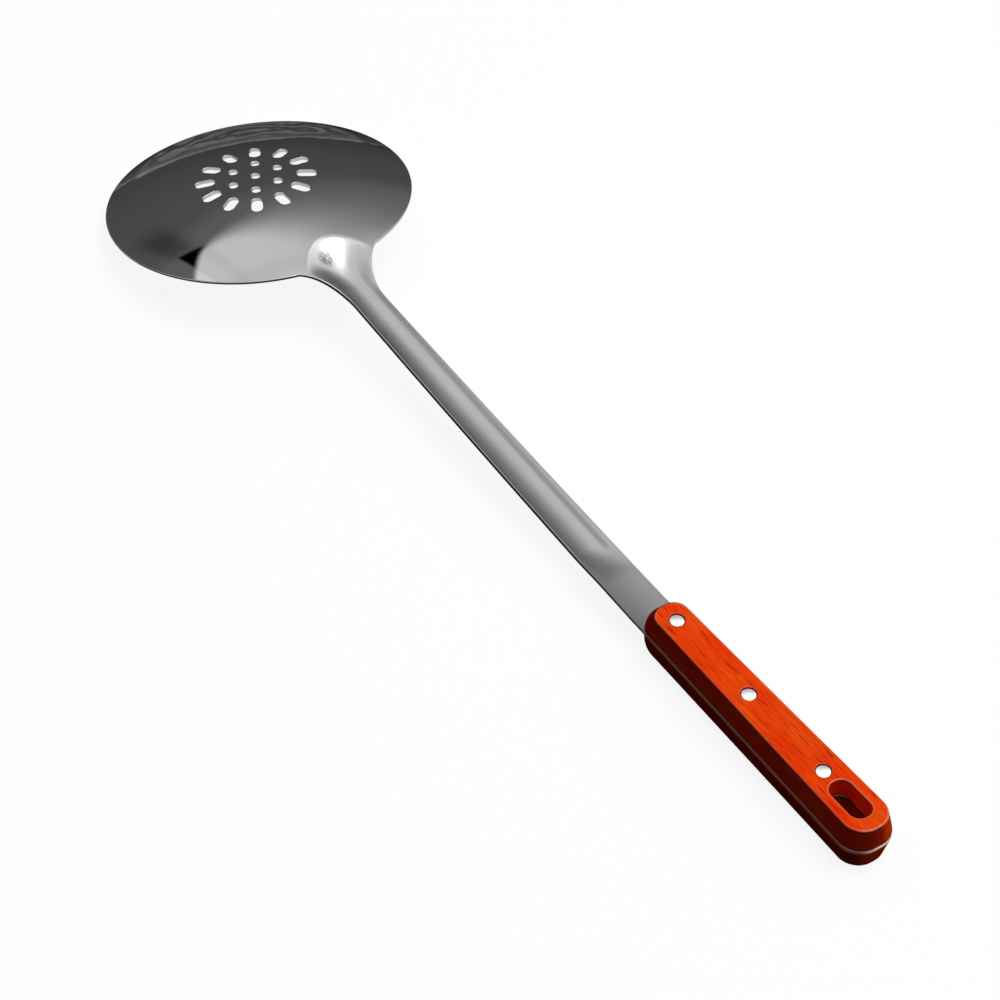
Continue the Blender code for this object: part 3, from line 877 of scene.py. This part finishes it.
class Graph:
    """Short ways to add nodes to a node tree. A value is a number or another node's socket."""

    def __init__(self, tree):
        self.tree = tree

    def add(self, kind, settings=None, **values):
        """A node, with its settings and its inputs."""
        node = self.tree.nodes.new("ShaderNode" + kind)
        for key, value in (settings or {}).items():
            setattr(node, key, value)
        self.feed(node, **values)
        return node

    def feed(self, node, **values):
        """Sets a node's inputs by name, with _ for a space, or by number, as i0 or i1."""
        for key, value in values.items():
            name = int(key[1:]) if key[0] == "i" and key[1:].isdigit() else key.replace("_", " ")
            self.put(node.inputs[name], value)

    def put(self, socket, value):
        if isinstance(value, bpy.types.NodeSocket):
            self.tree.links.new(value, socket)
        else:
            socket.default_value = value

    def math(self, operation, a, b=0.0):
        return self.add("Math", {"operation": operation}, i0=a, i1=b).outputs[0]

    def times(self, *values):
        return functools.reduce(functools.partial(self.math, "MULTIPLY"), values)

    def plus(self, *values):
        return functools.reduce(functools.partial(self.math, "ADD"), values)

    def minus(self, a, b):
        return self.math("SUBTRACT", a, b)

    def greater(self, a, b):
        return self.math("MAXIMUM", a, b)

    def ramp(self, value, start, end, low=0.0, high=1.0):
        """A value carried smoothly from one range to another, and held at its ends."""
        node = self.add("MapRange", {"interpolation_type": "SMOOTHSTEP"}, Value=value)
        self.feed(node, From_Min=start, From_Max=end, To_Min=low, To_Max=high)
        return node.outputs[0]

    def fade(self, value, start, end):
        """1 up to the start, and 0 from the end on."""
        return self.ramp(value, start, end, 1.0, 0.0)

    def colours(self, factor, a, b):
        """A mix of two colours."""
        node = self.add("Mix", {"data_type": "RGBA"}, i0=factor)
        for number, colour in ((6, a), (7, b)):
            self.put(node.inputs[number], (*colour, 1.0) if isinstance(colour, tuple) else colour)
        return node.outputs[2]

    def noise(self, vector, scale, detail=2.0, roughness=0.5, turn=0.0):
        """Noise over a vector that is stretched by three scales, and turned in the table's plane."""
        mapped = self.add("Mapping", Vector=vector, Scale=scale, Rotation=(0.0, 0.0, turn)).outputs[0]
        texture = self.add("TexNoise", Vector=mapped, Scale=1.0, Detail=detail, Roughness=roughness)
        return texture.outputs[0]

    def distance(self, vector, point):
        node = self.add("VectorMath", {"operation": "DISTANCE"}, i0=vector, i1=point)
        return node.outputs["Value"]

    def parts(self, vector):
        return self.add("SeparateXYZ", Vector=vector).outputs

    def edge_mask(self):
        """The mesh's own mask: cut edges of the sheet, which take painted shade and highlight, and the
        painted highlight rings of rivet heads.
        """
        return self.add("Attribute", {"attribute_name": "edge"}).outputs["Fac"]

    def bump(self, height, distance, strength=1.0, below=None):
        node = self.add("Bump", Height=height, Distance=distance, Strength=strength)
        if below is not None:
            self.put(node.inputs["Normal"], below)
        return node.outputs[0]


# Where a shader stands on the object. The plan is (across, station, 0).
Spot = collections.namedtuple("Spot", "place x station z plan")


def new_material(name):
    """A material, with the graph to build it, its shader and the spot it shades."""
    look = bpy.data.materials.new(name)
    look.use_nodes = True
    graph = Graph(look.node_tree)
    place = graph.add("TexCoord").outputs["Object"]
    x, y, z = graph.parts(place)
    station = graph.minus(BOWL_Y, y)
    plan = graph.add("CombineXYZ", X=x, Y=station).outputs[0]
    return look, graph, look.node_tree.nodes["Principled BSDF"], Spot(place, x, station, z, plan)


# Steel

def painted_rim_reflection(graph, spot):
    """Painted reflection on the far rim: a crescent of dark tones with paler swirls, and a darker band at
    the rim, as a mask and a colour.
    """
    past_inner = graph.minus(graph.distance(spot.plan, MARK_INNER_CENTRE), MARK_INNER_RADIUS)
    inside_outer = graph.minus(MARK_OUTER_RADIUS, graph.distance(spot.plan, MARK_OUTER_CENTRE))
    plain_rim = graph.fade(inside_outer, *MARK_OUTER_LIMITS)
    warp = graph.times(graph.noise(spot.place, MARK_WARP_SCALE), MARK_WARP)
    depth = graph.times(graph.math("MINIMUM", past_inner, inside_outer), MARK_RING_RATE)
    rings = graph.ramp(graph.math("SINE", graph.plus(depth, warp)), -1.0, 1.0)
    marks = graph.times(rings, graph.ramp(past_inner, *MARK_LIMITS))
    tone = graph.colours(plain_rim, graph.colours(marks, *SWIRL_REFLECTION_TONES), DARK_RIM_REFLECTION_TONE)
    shifted = graph.plus(past_inner, graph.times(plain_rim, PLAIN_RIM_SHIFT))
    return graph.ramp(shifted, *MARK_INNER_LIMITS), tone


def sheet_tone(graph, spot, smear, tang):
    """The sheet's colour: duller where it is handled, with painted shade along the shank's far flank, and
    on the tang duller still and darker towards its near side as painted shade.
    """
    tone = graph.colours(smear, *STEEL_TONES)
    handled = graph.ramp(spot.station, NECK_END, FADE_START, 0.0, HANDLED_SHARE)
    tone = graph.colours(handled, tone, HANDLED_TONE)
    far_flank_shade = graph.times(
        graph.ramp(spot.x, *FAR_FLANK_SHADE_RISE),
        graph.fade(spot.x, *FAR_FLANK_SHADE_FALL),
        graph.ramp(spot.station, RIM_STATION, NECK_END),
        graph.fade(spot.station, FADE_START, FADE_START + FAR_FLANK_SHADE_FADE),
        FAR_FLANK_SHADE_SHARE,
    )
    tone = graph.colours(far_flank_shade, tone, FAR_FLANK_SHADE_TONE)
    tang_tone = graph.colours(graph.ramp(spot.x, *TANG_LIMITS), *TANG_TONES)
    return graph.colours(graph.times(tang, TANG_SHARE), tone, tang_tone)


def scuffed(graph, spot, tone):
    """A colour with a small speckled scuff on the neck."""
    near = graph.fade(graph.distance(spot.plan, SCUFF_CENTRE), *SCUFF_LIMITS)
    speckle = graph.noise(spot.place, SPECKLE_SCALE, roughness=0.6)
    speckle = graph.ramp(speckle, *SPECKLE_LIMITS, SPECKLE_LEAST, 1.0)
    return graph.colours(graph.times(near, speckle), tone, SCUFF_TONE)


def cut_tone(graph, spot):
    """The colour of cut edges: painted shade, browner in the grip and its slot, and a painted highlight on
    the right.
    """
    in_grip = graph.ramp(spot.station, GRIP_FRONT - ZONE_BLEND, GRIP_FRONT + ZONE_BLEND)
    tone = graph.colours(in_grip, CUT_TONE, CUT_TONE_IN_GRIP)
    tone = graph.colours(graph.ramp(spot.x, *CUT_HIGHLIGHT_LIMITS), tone, CUT_HIGHLIGHT_TONE)
    in_slot = graph.fade(graph.distance(spot.plan, SLOT_CENTRE), *CUT_SLOT_LIMITS)
    return graph.colours(in_slot, tone, CUT_TONE_IN_SLOT)


def steel_material():
    """Polished in the bowl, brushed along the shank, dull on the flat tang, with painted reflection on the
    far rim and painted shade and highlight on the cut edges.
    """
    look, graph, shader, spot = new_material("stainless_steel")
    cut = graph.edge_mask()
    shank_start = RIM_STATION - NOSE_LENGTH - ZONE_BLEND
    shank = graph.ramp(spot.station, shank_start, RIM_STATION - ZONE_BLEND)
    tang = graph.ramp(spot.station, FADE_START, FLAT_START)
    far_rim, far_rim_tone = painted_rim_reflection(graph, spot)
    smear = graph.noise(spot.place, SMEAR_SCALE, detail=3.0)
    streak = graph.noise(spot.place, BRUSH_SCALE, detail=3.0, roughness=0.6)
    rough = graph.plus(
        graph.times(shank, SHANK_ROUGHNESS),
        graph.times(tang, TANG_ROUGHNESS),
        graph.times(smear, SMEAR_ROUGHNESS),
        graph.times(graph.minus(streak, 0.5), shank, BRUSH_ROUGHNESS),
        graph.times(cut, CUT_ROUGHNESS),
    )
    # The far rim's painted reflection goes over the sheet's tone, and the cut edges' painted shade and
    # highlight over both
    tone = graph.colours(far_rim, sheet_tone(graph, spot, smear, tang), far_rim_tone)
    tone = graph.colours(cut, scuffed(graph, spot, tone), cut_tone(graph, spot))
    ripple = graph.bump(graph.times(graph.noise(spot.place, RIPPLE_SCALE), far_rim), RIPPLE_HEIGHT)
    brushed = graph.bump(graph.times(streak, shank), BRUSH_HEIGHT, below=ripple)
    graph.feed(shader, Base_Color=tone, Roughness=rough, Normal=brushed)
    graph.feed(shader, Metallic=1.0, Specular_Tint=STEEL_GRAZING_TINT)
    return look


# Wood

def painted_wood_shade(graph, spot, right, forward):
    """Painted shade on the wood: on the left flank, on the upper scale's end grain away from the right,
    and low in the slot.
    """
    upper = graph.ramp(spot.z, SCALE_THICKNESS, TANG_TOP)
    end_grain = graph.times(
        graph.ramp(graph.math("ABSOLUTE", forward), *END_GRAIN_LIMITS),
        graph.fade(right, *END_GRAIN_SIDE),
        upper,
    )
    off_slot = graph.greater(
        graph.ramp(graph.distance(spot.plan, SLOT_CENTRE), *SLOT_WALL_LIMITS),
        graph.fade(spot.x, *SLOT_LEFT_LIMITS),
    )
    outside = graph.times(graph.greater(graph.fade(right, *FLANK_LIMITS), end_grain), off_slot)
    low_in_slot = graph.times(graph.minus(1.0, upper), graph.minus(1.0, off_slot))
    return graph.greater(outside, low_in_slot)


def lacquered_and_highlit_corner(graph, spot, up):
    """The rounded upper corners, which take lacquer and a painted highlight: less on the left, and not at
    the front.
    """
    return graph.times(
        graph.ramp(up, *CORNER_RISE),
        graph.fade(up, *CORNER_FALL),
        graph.ramp(spot.x, *CORNER_LEFT_LIMITS, CORNER_LEFT_LEVEL, 1.0),
        graph.ramp(spot.station, GRIP_FRONT, GRIP_FRONT + CORNER_FRONT_FADE),
    )


def wood_material():
    """Orange-red stained hardwood with fine dark pores, lacquered corners with a painted highlight, and
    painted shade on the left flank, end grain and low in the slot.
    """
    look, graph, shader, spot = new_material("stained_wood")
    right, forward, up = graph.parts(graph.add("TexCoord").outputs["Normal"])
    figure = graph.noise(spot.place, FIGURE_SCALE, detail=3.0, roughness=0.6, turn=FIGURE_TURN)
    fibre = graph.noise(spot.place, FIBRE_SCALE, detail=3.0, roughness=0.6, turn=FIBRE_TURN)
    pores = graph.noise(spot.place, PORE_SCALE, detail=1.0, roughness=0.4, turn=FIBRE_TURN)
    pores = graph.ramp(pores, *PORE_LIMITS)
    painted_light_share = painted_wood_shade(graph, spot, right, forward)
    corner = lacquered_and_highlit_corner(graph, spot, up)
    tone = graph.colours(graph.ramp(figure, *FIGURE_LIMITS), *WOOD_TONES)
    tone = graph.colours(graph.ramp(fibre, *FIBRE_LIMITS, 0.0, FIBRE_SHARE), tone, FIBRE_TONE)
    tone = graph.colours(graph.times(pores, PORE_SHARE), tone, PORE_TONE)
    tone = graph.colours(graph.times(painted_light_share, WOOD_SHADE_SHARE), tone, WOOD_SHADE_TONE)
    tone = graph.colours(graph.times(corner, CORNER_HIGHLIGHT_SHARE), tone, CORNER_HIGHLIGHT_TONE)
    rough = graph.ramp(fibre, *GLOSS_LIMITS, *WOOD_ROUGHNESS)
    graph.feed(shader, Base_Color=tone, Roughness=rough, Specular_IOR_Level=0.0)
    graph.feed(shader, Coat_Weight=corner, Coat_Roughness=LACQUER_ROUGHNESS)
    graph.feed(shader, Normal=graph.bump(pores, -PORE_DEPTH, PORE_STRENGTH))
    return look


# Rivet metal

def rivet_material():
    """Bright aluminium with a fine mottle, tinted blue as a painted reflection, and a paler painted
    highlight ring round each head.
    """
    look, graph, shader, spot = new_material("rivet_aluminium")
    mottle = graph.noise(spot.place, MOTTLE_SCALE)
    tone = graph.colours(graph.edge_mask(), graph.colours(mottle, *RIVET_TONES_WITH_BLUE_REFLECTION), RIVET_RING_HIGHLIGHT_TONE)
    rough = graph.ramp(mottle, *MOTTLE_LIMITS, *RIVET_ROUGHNESS)
    knocks = graph.bump(mottle, MOTTLE_HEIGHT, MOTTLE_STRENGTH)
    graph.feed(shader, Base_Color=tone, Roughness=rough, Metallic=1.0, Normal=knocks)
    return look


# Studio

def make_floor():
    """A pale floor. It looks white in the picture and in reflections, and sends little light back."""
    half = FLOOR_SIZE / 2
    mesh = bpy.data.meshes.new("floor")
    corners = [(-half, -half, 0), (half, -half, 0), (half, half, 0), (-half, half, 0)]
    mesh.from_pydata(corners, [], [(0, 1, 2, 3)])
    floor = bpy.data.objects.new("floor", mesh)
    bpy.context.scene.collection.objects.link(floor)
    look = bpy.data.materials.new("pale_floor")
    look.use_nodes = True
    tree = look.node_tree
    tree.nodes.clear()
    graph = Graph(tree)
    path = graph.add("LightPath").outputs
    seen = graph.greater(path["Is Camera Ray"], path["Is Glossy Ray"])
    seen = graph.greater(seen, path["Is Transmission Ray"])
    matte = graph.add("BsdfDiffuse", Color=FLOOR_BOUNCE_TONE).outputs[0]
    lit = graph.add("BsdfDiffuse", Color=FLOOR_TONE).outputs[0]
    glow = graph.add("Emission", Color=WHITE, Strength=FLOOR_GLOW).outputs[0]
    pale = graph.add("AddShader", i0=lit, i1=glow).outputs[0]
    both = graph.add("MixShader", Fac=seen, i1=matte, i2=pale).outputs[0]
    tree.links.new(both, graph.add("OutputMaterial").inputs[0])
    mesh.materials.append(look)


def far_panel(graph, x, z, above):
    """The panel on the far right. Its lower edge is softer to the right, and its left end is brightest."""
    spread = graph.plus(graph.times(x, x, PANEL_SPREAD), PANEL_LEAST_SPREAD)
    return graph.times(
        graph.ramp(graph.math("DIVIDE", above, spread), *PANEL_RISE, 0.0, PANEL_LEVEL),
        graph.ramp(graph.plus(x, graph.times(z, PANEL_LEFT_TILT)), *PANEL_LEFT_LIMITS),
        graph.ramp(x, *PANEL_GLARE_LIMITS, PANEL_GLARE, 1.0),
        graph.ramp(z, *PANEL_TOP_LIMITS, 1.0, PANEL_TOP_SHARE),
    )


def side_panel(graph, x, y, z):
    """The panel on the right."""
    return graph.times(
        graph.ramp(y, *SIDE_NEAR_LIMITS),
        graph.fade(y, *SIDE_FAR_LIMITS),
        graph.ramp(x, *SIDE_LIMITS),
        graph.ramp(z, *SIDE_RISE, 0.0, SIDE_LEVEL),
    )


def dark_flag(graph, x, z):
    """1 on the small black flag at the far panel's left end, and 0 off it."""
    return graph.times(
        graph.ramp(graph.minus(z, graph.times(x, FLAG_TILT)), *FLAG_BOTTOM),
        graph.ramp(x, *FLAG_LEFT),
        graph.fade(x, *FLAG_RIGHT),
    )


def soft_shade(graph, x, z):
    """How much of the wall's light is lost below the flag."""
    return graph.times(
        graph.ramp(graph.math("ABSOLUTE", graph.minus(x, SHADE_MIDDLE)), *SHADE_LIMITS, SHADE_DEPTH, 0.0),
        graph.ramp(z, *SHADE_BOTTOM),
        graph.fade(z, *SHADE_TOP),
    )


def dim_walls(graph, x, z, away, above):
    """The walls: dimmest on the camera's side, and brighter from the far panel's height up."""
    return graph.times(
        graph.ramp(z, *HORIZON_LIMITS, HORIZON_LEVEL, ROOM_LEVEL),
        graph.ramp(away, *DIM_SIDE_LIMITS, DIM_SIDE_SHARE, 1.0),
        graph.minus(1.0, dark_flag(graph, x, z)),
        graph.minus(1.0, soft_shade(graph, x, z)),
        graph.ramp(above, *HALO_LIMITS, 1.0, HALO_GAIN),
    )


def make_room():
    """Dim walls with soft panels on the far right, on the right and overhead, and one dark flag.

    The wall on the camera's side is bright in mirror reflections only.
    """
    world = bpy.data.worlds.new("studio")
    bpy.context.scene.world = world
    world.use_nodes = True
    tree = world.node_tree
    tree.nodes.clear()
    graph = Graph(tree)
    x, y, z = graph.parts(graph.add("TexCoord").outputs["Generated"])
    away = graph.plus(graph.times(x, FAR_SIDE[0]), graph.times(y, FAR_SIDE[1]))
    above = graph.minus(graph.plus(z, graph.times(x, PANEL_TILT)), PANEL_BOTTOM)
    panels = graph.plus(far_panel(graph, x, z, above), side_panel(graph, x, y, z))
    overhead = graph.times(
        graph.ramp(z, *ZENITH_RISE, 0.0, ZENITH_LEVEL),
        graph.ramp(away, *ZENITH_LIMITS),
    )
    mirrored = graph.add("LightPath").outputs["Is Glossy Ray"]
    near_wall = graph.times(graph.ramp(away, *NEAR_WALL_LIMITS, NEAR_WALL_LEVEL, 0.0), mirrored)
    level = graph.plus(graph.greater(panels, overhead), dim_walls(graph, x, z, away, above), near_wall)
    back = graph.add("Background", Strength=level).outputs[0]
    tree.links.new(back, graph.add("OutputWorld").inputs[0])


def make_lamp(name, place, size, power):
    data = bpy.data.lights.new(name, "AREA")
    data.shape = "DISK"
    data.size = size
    data.energy = power
    lamp = bpy.data.objects.new(name, data)
    bpy.context.scene.collection.objects.link(lamp)
    lamp.location = place
    away = np.array(place)
    turn = math.atan2(math.hypot(away[0], away[1]), away[2])
    lamp.rotation_euler = (turn, 0.0, math.atan2(away[0], -away[1]))


def make_camera():
    data = bpy.data.cameras.new("camera")
    data.lens = CAMERA_LENS
    data.sensor_width = CAMERA_SENSOR
    camera = bpy.data.objects.new("camera", data)
    bpy.context.scene.collection.objects.link(camera)
    camera.location = CAMERA_PLACE
    camera.rotation_euler = [math.radians(a) for a in CAMERA_TURN]
    bpy.context.scene.camera = camera


for old in list(bpy.data.objects):
    bpy.data.objects.remove(old, do_unlink=True)
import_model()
make_camera()
make_blade(steel_material())
wood = wood_material()
make_scale("upper_wood_scale", "upper_scale", wood, TANG_TOP + SEAT_GAP, 1)
make_scale("lower_wood_scale", "lower_scale", wood, SCALE_THICKNESS, -1)
rivet_metal = rivet_material()
for rivet_name, rivet_station in zip(RIVET_NAMES, RIVET_STATIONS):
    make_rivet(rivet_name, rivet_metal, rivet_station)
make_floor()
make_room()
make_lamp("key", KEY_PLACE, KEY_SIZE, KEY_POWER)
bpy.context.scene.view_settings.view_transform = "Standard"
